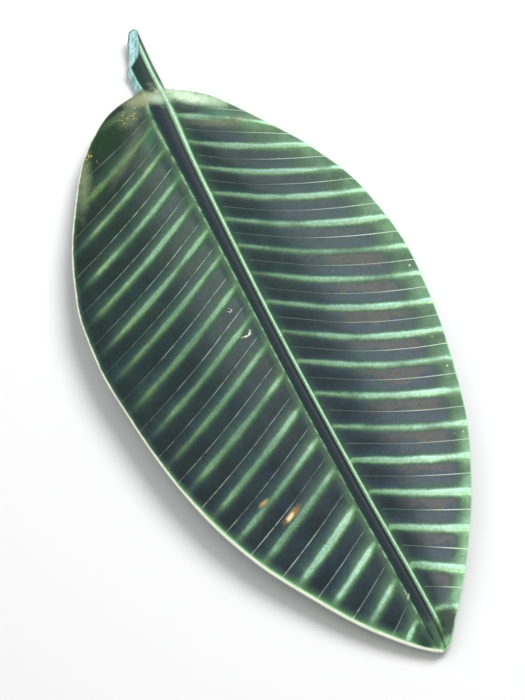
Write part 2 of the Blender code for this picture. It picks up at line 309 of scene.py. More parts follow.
def veinStations():  # rows crowd at each broad vein's crest and at each thin line
    near = (
        -0.42, -0.36, -0.3, -0.245, -0.2, -0.16, -0.125, -0.095, -0.07, -0.048, -0.028, -0.01,
    )
    crest = (0.008, 0.026, 0.045, 0.065, 0.09, 0.12, 0.16, 0.21, 0.27, 0.34, 0.4, 0.44)
    line = (0.466, 0.478, 0.489, 0.5, 0.511, 0.522, 0.534)
    firstLine, neckRows = -0.5, 26
    stations = list(np.linspace(leafDish["firstRow"], firstLine - 0.12, neckRows))
    for n in range(leafDish["lastVein"] + 1):
        stations += [n + part for part in near + crest + line]
    perVein = rootS(right, leafDish["lastVein"] + 0.5) - rootS(right, leafDish["lastVein"] - 0.5)
    fromTip = (3.4, 2.4, 1.6, 1.0, 0.55, 0.25, 0.08)  # millimetres
    ending = [leafDish["lastRow"] - back / perVein for back in fromTip]
    gap = 0.03  # keeps the last even row clear of the tip's own rows
    stations = [firstLine] + [v for v in stations if v < ending[0] - gap]
    return sorted(stations) + ending


def outline():  # stem's right side, right margin, tip, left margin, stem's left side
    veins = np.linspace(leafDish["firstRow"], leafDish["lastRow"], 300)
    rightLine = [marginPoint(right, v) for v in veins]
    leftLine = [marginPoint(left, v) for v in veins]
    reach, back = rightLine[-1]
    ahead = leafDish["tip"] - back
    tipHalf, neck = 5.6, 8  # the tip's flat part and the stem's end before the blade, in mm
    across = np.linspace(tipHalf, -tipHalf, 15)
    tip = [np.array([x, back + ahead * (1 - (x / reach) ** 2)]) for x in across]
    sides, down = leafDish["stemSide"], np.linspace(-leafDish["stemLength"], -neck, 12)
    stem = {side: [np.array([side * sides[side], s]) for s in down] for side in (left, right)}
    return np.array(stem[right] + rightLine + tip + leftLine[::-1] + stem[left][::-1])


rimLine = outline()
rimHalves = {side: rimLine[rimLine[:, 0] * side >= 0] for side in (left, right)}
rimHalves = {side: half[np.argsort(half[:, 1])] for side, half in rimHalves.items()}


def rimDistance(points):
    start, run = rimLine[:-1], np.diff(rimLine, axis=0)
    offset = points[:, None, :] - start[None]
    share = np.clip((offset * run).sum(2) / (run * run).sum(1), 0, 1)
    return np.linalg.norm(offset - share[..., None] * run, axis=2).min(1)


def bowlRise(points):
    rise = np.zeros(len(points))
    for side in (left, right):
        half = points[:, 0] * side > 0
        x, s = points[half, 0], points[half, 1]
        width = np.interp(s, rimHalves[side][:, 1], abs(rimHalves[side][:, 0]))
        flat = leafDish["flatShare"]
        share = np.clip((abs(x) / np.maximum(width, 1) - flat) / (1 - flat), 0, 1)
        highest = leafDish["rise"][side] * width / leafDish["widest"][side]
        rise[half] = highest * share ** leafDish["risePower"]
    return rise


def stemLift(s):
    share = np.maximum(-s, 0) / leafDish["stemLength"]
    return leafDish["stemLift"] * share ** leafDish["stemLiftPower"]


def midribRelief(points, room):
    offset = points[:, 0] - curveThrough(leafDish["midrib"], 1, points[:, 1])
    lip = lipHalf(points[:, 1], room)
    crest = np.where(offset > 0, leafDish["lipHeight"][right], leafDish["lipHeight"][left])
    crest = crest * (1 - eased(points[:, 1], *leafDish["lipEnd"]))
    across = abs(offset) / lip
    middle, reach = leafDish["saddle"]
    filled = np.exp(-(((points[:, 1] - middle) / reach) ** 4))
    depth = crest + leafDish["grooveDepth"] * (1 - filled)
    drop = depth * (1 - np.minimum(across, 1) ** leafDish["groovePower"])
    outside = crest * np.exp(-(((abs(offset) - lip) / leafDish["lipSoftness"]) ** 2))
    return np.where(across < 1, crest - drop, outside), offset / lip


def heights(points, room, upper):  # z of the upper or lower face, and what the glaze reads
    s = points[:, 1]
    share = eased(s, *leafDish["stemToBlade"])
    rim = rimDistance(points)
    rise = share * bowlRise(points)
    relief, lips = midribRelief(points, room)
    distance, fall = leafDish["shoulder"]
    shoulder = np.maximum(1 - rim / distance, 0) ** fall
    drop = (1 - share) * leafDish["stemDrop"] * shoulder
    top = leafDish["floorTop"] + rise + stemLift(s) + relief - drop
    thinning = leafDish["floorTop"] - leafDish["rimThickness"]
    thinning = thinning * (1 - eased(rim, 0, leafDish["thickening"]))
    under = rise + share * thinning + stemLift(s)
    middle = 0.5 * (top + under)
    radius = leafDish["stemRound"] + share * (leafDish["edgeRound"] - leafDish["stemRound"])
    power = leafDish["stemPower"] + share * (leafDish["edgePower"] - leafDish["stemPower"])
    inward = np.clip(rim / radius, 0, 1)
    fullness = (1 - (1 - inward) ** power) ** (1 / power)
    face = top if upper else under
    return middle + (face - middle) * fullness, rim, lips


# Points are collected with what the glaze and the veins read, then faces over them
dishPoints, dishFaces, faceSheets = [], [], []
readings = {name: [] for name in ("vein", "along", "rim", "lips", "upper", "cut")}
upperSheet, lowerSheet, cutSheet = 0, 1, 2


def addPoint(x, s, z, **values):
    dishPoints.append((x, -s, z))
    for name, column in readings.items():
        column.append(float(values.get(name, 0.0)))
    return len(dishPoints) - 1


def addFace(corners, sheet):
    corners = [c for i, c in enumerate(corners) if c not in corners[:i]]
    if len(corners) > 2:
        dishFaces.append(corners)
        faceSheets.append(sheet)


def addLine(points, vein, shares, room, upper):
    zs, rims, lips = heights(points, room, upper)
    return [
        addPoint(x, s, z, vein=vein, along=along, rim=rim, lips=lip, upper=float(upper))
        for (x, s), z, rim, lip, along in zip(points, zs, rims, lips, shares)
    ]


def addGrid(rows, sheet):
    for row, following in zip(rows, rows[1:]):
        for i in range(len(row) - 1):
            addFace([row[i], row[i + 1], following[i + 1], following[i]], sheet)


def stitch(first, second, sheet):  # triangles between two runs that start and end together
    def shares(run):
        spots = np.array([dishPoints[i] for i in run])
        steps = np.linalg.norm(np.diff(spots, axis=0), axis=1)
        return np.concatenate([[0], np.cumsum(steps) / steps.sum()])
    a, b = shares(first), shares(second)
    i = j = 0
    while i < len(first) - 1 or j < len(second) - 1:
        if j == len(second) - 1 or (i < len(first) - 1 and a[i + 1] <= b[j + 1]):
            addFace([first[i], first[i + 1], second[j]], sheet)
            i += 1
        else:
            addFace([first[i], second[j + 1], second[j]], sheet)
            j += 1


def addCutFace(upperLine, lowerLine):  # the stem's slanting end
    lower = np.array([dishPoints[i] for i in lowerLine])
    rows = [upperLine]
    clearOfRim = {"cut": 1.0, "upper": 1.0, "rim": 20.0, "lips": 9.0}  # no rim or lip colour
    fullHeight = 12  # where the cut is this high, it is hollowed in full
    for share in (0.12, 0.3, 0.5, 0.7, 0.88):
        row = [upperLine[0]]
        for i in upperLine[1:-1]:
            start = np.array(dishPoints[i])
            end = [np.interp(start[0], lower[:, 0], lower[:, axis]) for axis in range(3)]
            run = np.array(end) - start
            spot = start + share * run
            hollow = leafDish["cutHollow"] * min(np.linalg.norm(run) / fullHeight, 1)
            hollow *= math.sin(math.pi * share)
            row.append(addPoint(spot[0], -spot[1], spot[2] - hollow, **clearOfRim))
        rows.append(row + [upperLine[-1]])
    addGrid(rows, cutSheet)
    stitch(rows[-1], lowerLine, cutSheet)


def collectDish():
    rows = [(leafDish["firstRow"], row) for row in stemRows()]
    rows += [(vein, bladeRow(vein)) for vein in veinStations()]
    uppers, lowers = [], []
    for vein, (top, shares, under) in rows:
        room = min(abs(top[0][0]), abs(top[-1][0]))
        upperLine = addLine(top, vein, shares, room, True)
        inner = addLine(under[1:-1], vein, [0.0] * (len(under) - 2), room, False)
        uppers.append(upperLine)
        lowers.append([upperLine[0]] + inner + [upperLine[-1]])
    vein = leafDish["lastRow"]
    top, shares, _ = bladeRow(vein)
    edge = addLine(top, vein, shares, abs(top[0][0]), True)
    addGrid(uppers + [edge], upperSheet)
    addGrid(lowers, lowerSheet)
    stitch(edge, lowers[-1], lowerSheet)
    addCutFace(uppers[0], lowers[0])


collectDish()
print("dish rows:", len(dishPoints), "points and", len(dishFaces), "faces")


def makeDishMesh():
    low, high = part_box("leaf_dish")
    clearance = 0.08  # keeps the widest place inside the solid's box
    widestRight = max(distance for _, distance in leafDish["edge"][right]) + clearance
    shift = np.array([high.x / mm - widestRight, low.y / mm + leafDish["tip"], 0])
    points = (np.array(dishPoints) + shift) * mm
    mesh = bpy.data.meshes.new("glazedLeafDish")
    mesh.from_pydata(points.tolist(), [], dishFaces)
    for name, column in readings.items():
        mesh.attributes.new(name, "FLOAT", "POINT").data.foreach_set("value", column)
    addBakeMap(mesh, points)
    work = bmesh.new()
    work.from_mesh(mesh)
    bmesh.ops.recalc_face_normals(work, faces=work.faces)
    work.to_mesh(mesh)
    work.free()
    mesh.shade_smooth()
    mesh.set_sharp_from_angle(angle=math.radians(leafDish["sharpAngle"]))
    return mesh


def addBakeMap(mesh, points):  # the plan view, upper and lower face side by side
    border = 0.01
    flat = points[:, :2] - points[:, :2].min(0)
    flat *= (1 - 2 * border) / flat[:, 1].max()
    layer = mesh.uv_layers.new(name="OFBake")
    for face, sheet in zip(mesh.polygons, faceSheets):
        aside = 0.5 if sheet == lowerSheet else border
        for loop in face.loop_indices:
            u, v = flat[mesh.loops[loop].vertex_index]
            layer.data[loop].uv = (u + aside, v + border)


def addNode(tree, kind, inputs=(), output=0, **settings):  # makes a node, gives its output
    made = tree.nodes.new(kind)
    for name, value in settings.items():
        setattr(made, name, value)
    pairs = inputs.items() if isinstance(inputs, dict) else enumerate(inputs)
    for key, value in pairs:
        if isinstance(value, bpy.types.NodeSocket):
            tree.links.new(value, made.inputs[key])
        else:
            made.inputs[key].default_value = value
    return made.outputs[output]


def sums(tree):  # short hands for the number nodes of one tree
    def calc(operation, *values):
        return addNode(tree, "ShaderNodeMath", values, operation=operation)

    def fade(value, low, high, start=0.0, end=1.0):
        return addNode(
            tree, "ShaderNodeMapRange",
            {"Value": value, "From Min": low, "From Max": high, "To Min": start, "To Max": end},
            interpolation_type="SMOOTHSTEP",
        )

    def times(*values):
        made = values[0]
        for value in values[1:]:
            made = calc("MULTIPLY", made, value)
        return made
    return calc, fade, times


def veinTree():
    tree = bpy.data.node_groups.new("raisedVeins", "GeometryNodeTree")
    sizes = ("Vein Spacing", "Vein Height", "Gentle Side", "Steep Side", "Hairline Height",
             "Hairline Width", "Unevenness")
    kinds = {"Geometry": "Geometry", **{name: "Float" for name in sizes}}
    kinds.update({"Last Vein": "Int", "Seed": "Int", "Glaze": "Material"})
    for name, kind in kinds.items():
        tree.interface.new_socket(name, in_out="INPUT", socket_type="NodeSocket" + kind)
    tree.interface.new_socket("Geometry", in_out="OUTPUT", socket_type="NodeSocketGeometry")
    calc, fade, times = sums(tree)
    given = tree.nodes.new("NodeGroupInput").outputs

    def ramp(value, name):
        return fade(value, *leafDish["veinRamps"][name])

    def reading(name):
        return addNode(tree, "GeometryNodeInputNamedAttribute", {"Name": name}, data_type="FLOAT")

    def keep(geometry, name, value):
        return addNode(
            tree, "GeometryNodeStoreNamedAttribute",
            {"Geometry": geometry, "Name": name, "Value": value}, data_type="FLOAT", domain="POINT",
        )

    def chance(number, low, high, salt):  # one fixed random value for each vein
        seed = calc("ADD", given["Seed"], salt)
        return addNode(
            tree, "FunctionNodeRandomValue",
            {2: low, 3: high, "ID": number, "Seed": seed}, output=1, data_type="FLOAT",
        )

    def noise(name, number=None):  # with a number, another pattern for each vein
        scale, detail = leafDish["veinNoises"][name]
        inputs = {"Vector": place, "Scale": scale, "Detail": detail}
        if number is None:
            return addNode(tree, "ShaderNodeTexNoise", inputs)
        inputs["W"] = number
        return addNode(tree, "ShaderNodeTexNoise", inputs, noise_dimensions="4D")

    place = addNode(tree, "GeometryNodeInputPosition")
    vein, along, lips = reading("vein"), reading("along"), reading("lips")
    upper, rim = reading("upper"), reading("rim")
    rightHalf = ramp(calc("SIGN", lips), "rightHalf")
    nearest = calc("MINIMUM", calc("MAXIMUM", calc("ROUND", vein), 0.0), given["Last Vein"])
    number = calc("ADD", times(nearest, 2.0), rightHalf)
    away = times(calc("SUBTRACT", vein, nearest), given["Vein Spacing"])

    # The broad veins, steeper towards the tip
    steeper = calc("SUBTRACT", given["Steep Side"], given["Gentle Side"])
    width = calc("ADD", given["Gentle Side"], times(calc("GREATER_THAN", away, 0.0), steeper))
    bell = calc("EXPONENT", times(calc("POWER", calc("DIVIDE", away, width), 2.0), -1.0))
    inRange = times(ramp(vein, "start"), ramp(vein, "end"))
    leftRoot = times(ramp(lips, "leftRoot"), ramp(lips, "leftRootRise"))
    rooted = calc("MAXIMUM", ramp(lips, "rightRoot"), leftRoot)
    leftEnd = times(ramp(along, "leftEnd"), ramp(vein, "leftEndAtTip"))
    leftEnd = times(calc("SUBTRACT", 1.0, rightHalf), leftEnd)
    lasting = calc("SUBTRACT", 1.0, times(leftEnd, leafDish["leftEndSinks"]))
    uneven = ramp(noise("waves", number), "waves")
    drawn = chance(number, *leafDish["heightChance"], 1)
    strength = times(rooted, inRange, lasting, uneven, drawn)

    # The thin lines half way between them
    lineNumber = calc("ADD", times(calc("FLOOR", vein), 2.0), rightHalf)
    lineAway = times(calc("SUBTRACT", calc("FRACT", vein), 0.5), given["Vein Spacing"])
    line = fade(calc("ABSOLUTE", lineAway), given["Hairline Width"], 0.0)
    broken = ramp(noise("breaks", lineNumber), "breaks")
    lineStrength = times(inRange, ramp(along, "lineStart"), broken)

    slow = calc("SUBTRACT", noise("slow"), 0.5)
    rise = times(strength, bell, given["Vein Height"])
    rise = calc("ADD", rise, times(line, lineStrength, given["Hairline Height"]))
    rise = calc("ADD", rise, times(slow, given["Unevenness"]))
    rise = times(rise, upper, ramp(rim, "rim"))
    offset = addNode(tree, "ShaderNodeCombineXYZ", {"Z": rise})
    raised = addNode(
        tree, "GeometryNodeSetPosition", {"Geometry": given["Geometry"], "Offset": offset},
    )
    kept = keep(raised, "away", away)
    kept = keep(kept, "strength", strength)
    kept = keep(kept, "lineStrength", lineStrength)
    real = addNode(tree, "GeometryNodeRealizeInstances", {"Geometry": kept})
    finish = {"Geometry": real, "Material": given["Glaze"]}
    glazed = addNode(tree, "GeometryNodeSetMaterial", finish)
    tree.links.new(glazed, tree.nodes.new("NodeGroupOutput").inputs["Geometry"])
    return tree


# Depth of glaze: 0 where the pale clay shows, 4 where the glaze has pooled almost black
glazeLook = {
    "clay": (0.66, 1.0, 0.705),  # what is seen through no glaze
    "absorbs": (1.15, 1.0, 1.1),  # per unit of depth
    "poolDepth": {right: (3.6, 3.3), left: (3.3, 3.8)},  # beside the midrib, at the margin
    "crestDepth": {right: (1.65, 0.25), left: (1.02, 1.35)},
    "tipCrest": {right: 0.35, left: 0.2},  # how much thinner the crests are near the tip
    "leftMiddle": 0.5,  # how much thicker half way along the left veins
    "leftLast": 0.3,  # how much thinner on the left half's last veins
    "firstLeft": 0.6,  # how much thicker on the left half's first vein
    "marginDepth": {right: (1.15, 0.62), left: (1.75, 1.2)},  # near the stem, near the tip
    "marginWidth": {right: (22, 11), left: (4, 9)},
    "edgingDepth": 0.5,  # on the left rim near the tip
    "tipDepth": 2.1,
    "besideDepth": 1.7,  # just outside the midrib's lips
    "besideShare": 0.5,
    # the right lip's thinner glaze is partly real and partly a painted highlight along it
    "lipDepth": {right: 0.3, left: 1.0},
    "leastDepth": 0.1,
    "poolNoise": (1.4, 0.5),  # how much the depth varies, slowly and finely
    "crestNoise": 0.7,
    "lipNoise": 0.8,

    # Across a broad vein, in millimetres from its crest
    "raggedness": 0.9,
    "crestShift": {right: (-0.35, -0.4), left: (0.6, 0.1)},  # near the stem, near the tip
    "coreWidth": 2.6,
    "stemwardWidth": 5.5,  # how far thin glaze spreads towards the stem
    "stemwardShare": {right: (0.36, 0.5), left: (0.72, 0.72)},
    "tipwardFall": 0.45,  # how fast it thickens again towards the tip
    "tipwardShare": 0.68,
    "crestGain": 1.35,
    "crestMost": 1.08,

    "hairline": (0.72, 0.92, 0.76, 1),
    "leftCrest": (0.98, 1.0, 0.91, 1),  # tint of the left veins, at the midrib end
    "leftCrestEnd": (1.08, 0.98, 0.72, 1),  # and at the outer end
    "brownish": (1.16, 0.95, 0.86, 1),  # slow changes of tint in the pools
    "bluish": (0.94, 0.98, 1.2, 1),
    "grain": 0.5,  # how much the glaze's fine grain darkens and lightens it
    "deepTint": (1.0, 0.98, 1.72, 1),
    "slate": (1.2, 0.92, 1.22, 1),
    "slateSpread": 12.0,  # how unevenly the slate tint starts, in veins
    "olive": (1.1, 1.0, 0.78, 1),
    "tealSide": (0.95, 1.03, 1.18, 1),  # a broad vein's slope towards the stem
    "greenSide": (0.92, 1.05, 0.82, 1),  # and towards the tip
    "greenMargin": {right: 0.7, left: 1.0},
    "warmHaze": (0.084, 0.071, 0.062, 1),  # painted warm reflection just past each crest of the right half
    # painted cool reflection between the scallops
    "coolHaze": (0.04, 0.052, 0.066, 1),
    # painted grey sheen in the left half's inner pools
    "greyHaze": (0.05, 0.06, 0.052, 1),
    "scallopSize": 0.95,
    "scallopStart": (0.52, 0.2),  # share along a vein, near the stem and near the tip
    "groove": (0.0145, 0.0255, 0.034, 1),
    "stemGroove": (0.014, 0.04, 0.03, 1),
    "grooveFilled": 0.85,  # how much of the groove's colour the saddle at the neck hides
    # pale specks, and the colour of the painted crescent highlights
    "paleSpeck": (0.84, 0.86, 0.74, 1),
    "goldSpeck": (0.85, 0.55, 0.16, 1),
    "rimLine": {right: (0.5, 0.74, 0.52, 1), left: (0.8, 0.86, 0.68, 1)},
    "rimWidth": 0.55,
    "cutGlaze": (0.46, 0.76, 0.74, 1),
    "cutStroke": (0.19, 0.44, 0.44, 1),
    "strokeSize": (0.012, 0.0013, 0.0013),
    "strokeTurn": (0, -0.6, math.radians(59.5)),
    "underGlaze": (0.03, 0.1, 0.062, 1),
    "underPale": (0.075, 0.2, 0.13, 1),
    "foot": (0.66, 0.6, 0.5, 1),
    "footShade": (0.56, 0.49, 0.39, 1),
    "roughness": 0.14,
    "footRoughness": 0.75,
    "noises": {  # scale, detail, seed, roughness
        "crest": (330.0, 3.0, 1.0, 0.5),
        "fine": (700.0, 3.0, 2.0, 0.5),
        "broad": (55.0, 3.0, 3.0, 0.5),
        "edges": (170.0, 4.0, 4.0, 0.6),
        "grain": (620.0, 4.0, 5.0, 0.65),
        "tints": (42.0, 4.0, 6.0, 0.6),
        "scallops": (75.0, 1.0, 21.0, 0.5),
    },
    "bands": {  # rises over the first two, falls over the last two
        # Half widths of the groove from the midrib's middle
        "leftLip": (0.76, 0.94, 1.45, 1.1), "rightLip": (0.7, 0.92, 1.6, 1.15),
        "beside": (0.6, 0.9, 3.2, 1.2),
        # Vein numbers, shares of the way along a vein, and metres along the dish
        "middleVeins": (3.0, 6.0, 13.5, 12.0), "middle": (0.1, 0.4, 0.95, 0.6),
        "milky": (0.1, 0.7, 0.97, 0.8), "saddle": (0.1585, 0.166, 0.182, 0.176),
    },
    "ramps": {  # from and to, and the two results where they aren't 0 and 1
        # Half widths of the groove from the midrib's middle, 1 on a lip's crest
        "rightHalf": (-0.4, 0.4), "inGroove": (0.7, 0.26), "tipMiddle": (4.5, 1.5),
        "oliveOutside": (1.0, 3.0), "greyOutside": (2.0, 3.0), "wallOutside": (0.82, 1.02),
        # Vein numbers
        "tipward": (6.0, 13.0), "leftLast": (12.0, 13.5), "firstLeft": (0.7, 0.3),
        "marginFrom": (-1.4, -0.9), "edgingFrom": (7.0, 11.0), "slateFrom": (3.0, 11.0),
        "oliveTo": (2.0, -0.5), "scallopsFrom": (3.5, 5.5), "scallopTurn": (4.0, 14.0),
        "milkyFrom": (-0.5, 5.0, 0.2, 1.0), "greyTo": (11.0, 6.0),
        "chipsFrom": (1.0, 3.0, 0.0, 0.8), "chipsTo": (13.0, 11.0),
        "rimWiden": (5.0, 12.0, 0.3, 0.85), "rimFrom": (-1.44, -1.3),
        # Shares of the way along a vein, from the midrib to the margin
        "rightRoot": (0.0, 0.3, 1.5, 1.0), "tealSide": (-0.2, 0.5), "leftCrestEnd": (0.4, 0.95),
        "scallopFall": (0.9, 0.78), "greyFall": (0.5, 0.0), "chipsRise": (0.86, 0.97),
        "leftLineAtStem": (0.1, 0.9, 0.42, 0.1), "leftLineAtTip": (0.2, 0.75, 0.1, 0.42),
        "rightLine": (0.3, 0.9, 0.1, 1.0),
        # Places along the dish and heights, in metres
        "tipEnd": (-0.199, -0.211), "grooveEnd": (-0.212, -0.199), "lipEnd": (-0.219, -0.206),
        "onStem": (0.168, 0.18), "wallFrom": (0.178, 0.183), "footEnd": (0.158, 0.15),
        "footHeight": (0.0007, 0.0004),
        # Millimetres
        "stemwardSide": (0.8, -0.6), "tipwardSide": (0.4, 1.6), "edging": (3.4, 1.2),
        "hairline": (0.42, 0.12), "rimLine": (0.5, -0.5), "underRim": (0.6, 2.6),
        # Depths of glaze, and values of a noise
        "deep": (1.9, 3.3), "margin": (1.0, 0.1), "marginUneven": (0.35, 0.65, 0.6, 1.0),
        "lipBroken": (0.38, 0.6, 0.3, 1.0), "brownish": (0.5, 0.66), "bluish": (0.48, 0.34),
        "scallopEdge": (-0.04, 0.06), "scallopStart": (-0.05, 0.05),
        "lineBroken": (0.36, 0.58, 0.3, 1.2), "strokes": (0.44, 0.62), "underPale": (0.4, 0.65),
        "footShade": (0.35, 0.7),
    },
    # pale dots near the right margin
    "chips": (190.0, 0.16, 0.55),  # scale, size, share left out
    "goldDots": (560.0, 0.34, 0.45),
    "goldSoftness": 0.7,
    "rimRagged": 1.4,
    "footRagged": 0.0004,
    "stainRagged": 1.8,
    "fineStain": 8,  # length below which a stain's edge follows the fine grain
    "cleanLip": 0.8,  # how far the right lip stays free of stains
    "stains": {  # x, y, half length, half width, turn in degrees, softness, share, colour
        "neck": (0, 172.5, 12, 5, -6, 0.7, 0.85, (0.31, 0.33, 0.19, 1)),
        "neckPale": (10, 168.5, 7, 3.6, -40, 0.8, 0.65, (0.5, 0.72, 0.52, 1)),
        "shoulder": (28, 160.5, 20, 4.4, -48, 0.6, 0.92, (0.64, 0.84, 0.6, 1)),
        "shoulderDark": (26, 151.5, 16, 3.4, -38, 0.7, 0.75, (0.014, 0.036, 0.026, 1)),
        "firstVein": (40, 132, 17, 2.8, -30, 0.8, 0.6, (0.19, 0.2, 0.11, 1)),
        "paleOnVein": (24, 146.5, 7, 2, -30, 0.8, 0.5, (0.3, 0.5, 0.34, 1)),
        "tealPatch": (37, 140, 9, 4, -45, 0.8, 0.45, (0.05, 0.2, 0.13, 1)),
        "olivePatch": (-14, 163, 9, 5, 35, 0.8, 0.7, (0.19, 0.25, 0.15, 1)),
        "shoulderGreen": (-24, 163, 10, 2.2, 28, 0.8, 0.5, (0.16, 0.26, 0.14, 1)),
        "darkPatch": (-33, 152, 18, 8, 38, 0.8, 0.75, (0.012, 0.045, 0.016, 1)),
        "dullFirst": (-26, 134, 20, 2.6, 47, 0.8, 0.45, (0.14, 0.17, 0.11, 1)),
        "innerTeal": (-9, 141, 8, 3, 60, 0.8, 0.35, (0.07, 0.22, 0.15, 1)),
        "leftMargin": (-59, 121, 20, 3, 66, 0.9, 0.45, (0.32, 0.42, 0.22, 1)),
        "burstEdge": (-33, -124.2, 6.5, 2.0, 30, 0.5, 0.75, (0.32, 0.19, 0.07, 1)),
        "burst": (-34.6, -125.2, 2.9, 1.1, 34, 0.6, 0.95, (0.95, 0.74, 0.4, 1)),
        "smallBurst": (-44.5, -112.3, 3.2, 1.1, 25, 0.6, 0.8, (0.5, 0.34, 0.15, 1)),
        "tipPool": (17.5, -211, 8.5, 4.5, 55, 0.5, 0.9, (0.008, 0.026, 0.016, 1)),
        "tipGreen": (1.5, -216, 8.5, 4, 70, 0.7, 0.9, (0.008, 0.036, 0.026, 1)),
        "lipChip": (4.0, -191.5, 1.8, 0.5, 50, 0.5, 0.8, (0.6, 0.7, 0.52, 1)),
    },
    # painted highlights: pale crescents painted in place of glints
    "crescents": [  # x, y, half sizes, turn, softness
        (-9.8, -10.3, 3.4, 2.2, 14, 0.15), (-12.9, 8.5, 2.4, 1.3, -40, 0.15),
    ],
    "goldPlaces": [(-13, 164, 9, 4.5, 30), (-48.5, 138, 8, 4, 50)],
}


def glazeMaterial():
    material = bpy.data.materials.new("greenGlaze")
    material.use_nodes = True
    tree = material.node_tree
    shader = tree.nodes["Principled BSDF"]
    calc, fade, times = sums(tree)
    look = glazeLook

    def reading(name):
        return addNode(tree, "ShaderNodeAttribute", output=2, attribute_name=name)

    def noise(name):
        scale, detail, seed, roughness = look["noises"][name]
        return addNode(
            tree, "ShaderNodeTexNoise",
            {"Vector": place, "W": seed, "Scale": scale, "Detail": detail, "Roughness": roughness},
            noise_dimensions="4D",
        )

    def ramp(value, name):
        return fade(value, *look["ramps"][name])

    def band(value, name):
        start, full, falling, end = look["bands"][name]
        return times(fade(value, start, full), fade(value, falling, end))

    def offset(value, size):  # noise turned into plus or minus half of size
        return calc("MULTIPLY", calc("SUBTRACT", value, 0.5), size)

    def rest(share):  # what a share leaves
        return calc("SUBTRACT", 1.0, share)

    def between(share, low, high):  # number between two numbers
        return calc("ADD", low, calc("MULTIPLY", share, calc("SUBTRACT", high, low)))

    def bySide(name, at=None):  # a number for each half, or a pair that changes with at
        pair = look[name]
        if at is None:
            return between(rightHalf, float(pair[left]), float(pair[right]))
        return between(rightHalf, *(between(at, *pair[side]) for side in (left, right)))

    def blend(share, under, over, blend="MIX"):
        return addNode(
            tree, "ShaderNodeMix", {0: share, 6: under, 7: over}, output=2,
            data_type="RGBA", blend_type=blend,
        )

    def tinted(colour, share, name):
        return blend(share, colour, look[name], "MULTIPLY")

    def thinned(depth, share, most):  # the glaze gets no deeper than most
        return between(share, depth, calc("MINIMUM", depth, most))

    def spot(x, y, length, width, turn, softness):  # a soft oval with an uneven edge
        ragged = grain if length < look["fineStain"] else edges
        oval = addNode(
            tree, "ShaderNodeMapping",
            {"Vector": place, "Location": (x * mm, y * mm, 0),
             "Rotation": (0, 0, math.radians(turn)), "Scale": (length * mm, width * mm, 1)},
            vector_type="TEXTURE",
        )
        away = addNode(tree, "ShaderNodeVectorMath", (oval,), output=1, operation="LENGTH")
        away = calc("ADD", away, offset(ragged, look["stainRagged"]))
        return fade(away, 1 + softness, 1 - softness)

    def specks(scale, size, few):  # small random dots
        cell = {"Vector": place, "Scale": scale}
        near, drawn = (
            addNode(tree, "ShaderNodeTexVoronoi", cell, output=output) for output in range(2)
        )
        drawn = addNode(tree, "ShaderNodeSeparateColor", (drawn,))
        return times(fade(near, size, 0.5 * size), calc("GREATER_THAN", drawn, few), upper)

    place = addNode(tree, "ShaderNodeTexCoord", output=3)
    _, y, z = (addNode(tree, "ShaderNodeSeparateXYZ", (place,), output=axis) for axis in range(3))
    vein, along, rim = reading("vein"), reading("along"), reading("rim")
    lips, upper, cut = reading("lips"), reading("upper"), reading("cut")
    away, strength, lineStrength = reading("away"), reading("strength"), reading("lineStrength")
    rightHalf = ramp(lips, "rightHalf")
    leftHalf = rest(rightHalf)
    reach = calc("ABSOLUTE", lips)
    tipward = ramp(vein, "tipward")
    fine, broad, edges, grain = noise("fine"), noise("broad"), noise("edges"), noise("grain")

    # Thin on the broad veins, thick between them
    ragged = calc("ADD", away, offset(noise("crest"), look["raggedness"]))
    ragged = calc("ADD", ragged, bySide("crestShift", tipward))
    ragged = times(ragged, between(rightHalf, 1.0, ramp(along, "rightRoot")))
    core = calc("POWER", calc("DIVIDE", ragged, look["coreWidth"]), 2.0)
    core = calc("EXPONENT", times(core, -1.0))
    stemward = calc("EXPONENT", calc("DIVIDE", ragged, look["stemwardWidth"]))
    before = times(ramp(ragged, "stemwardSide"), stemward)
    after = calc("EXPONENT", times(calc("ABSOLUTE", ragged), -look["tipwardFall"]))
    glow = times(before, bySide("stemwardShare", tipward))
    spread = calc("MAXIMUM", glow, times(after, look["tipwardShare"]))
    shape = times(calc("MAXIMUM", core, spread), strength, look["crestGain"])
    shape = calc("MINIMUM", shape, look["crestMost"])
    slowly, finely = look["poolNoise"]
    pool = calc("ADD", bySide("poolDepth", along), offset(broad, slowly))
    pool = calc("ADD", pool, offset(fine, finely))
    crest = calc("SUBTRACT", bySide("crestDepth", along), times(tipward, bySide("tipCrest")))
    middle = times(leftHalf, band(along, "middle"), band(vein, "middleVeins"), look["leftMiddle"])
    crest = calc("ADD", crest, middle)
    crest = calc("SUBTRACT", crest, times(leftHalf, ramp(vein, "leftLast"), look["leftLast"]))
    crest = calc("ADD", crest, times(leftHalf, ramp(vein, "firstLeft"), look["firstLeft"]))
    depth = between(shape, pool, calc("ADD", crest, offset(fine, look["crestNoise"])))

    # Thinner again inside the margin, at the tip and on the midrib's lips
    margin = ramp(calc("DIVIDE", rim, bySide("marginWidth", tipward)), "margin")
    margin = times(margin, ramp(broad, "marginUneven"), ramp(vein, "marginFrom"))
    depth = thinned(depth, margin, bySide("marginDepth", tipward))
    edging = times(leftHalf, ramp(vein, "edgingFrom"), ramp(rim, "edging"))
    depth = thinned(depth, edging, look["edgingDepth"])
    atTip = times(ramp(y, "tipEnd"), ramp(reach, "tipMiddle"))
    depth = thinned(depth, atTip, look["tipDepth"])
    beside = band(reach, "beside")
    depth = thinned(depth, times(beside, look["besideShare"]), look["besideDepth"])
    leftLip = times(band(reach, "leftLip"), ramp(edges, "lipBroken"))
    lipCrest = between(rightHalf, leftLip, band(reach, "rightLip"))
    lipCrest = times(lipCrest, ramp(y, "lipEnd"))
    # The right lip is made paler than the left partly as a painted highlight
    lipDepth = calc("ADD", bySide("lipDepth"), offset(fine, look["lipNoise"]))
    depth = calc("MAXIMUM", between(lipCrest, depth, lipDepth), look["leastDepth"])

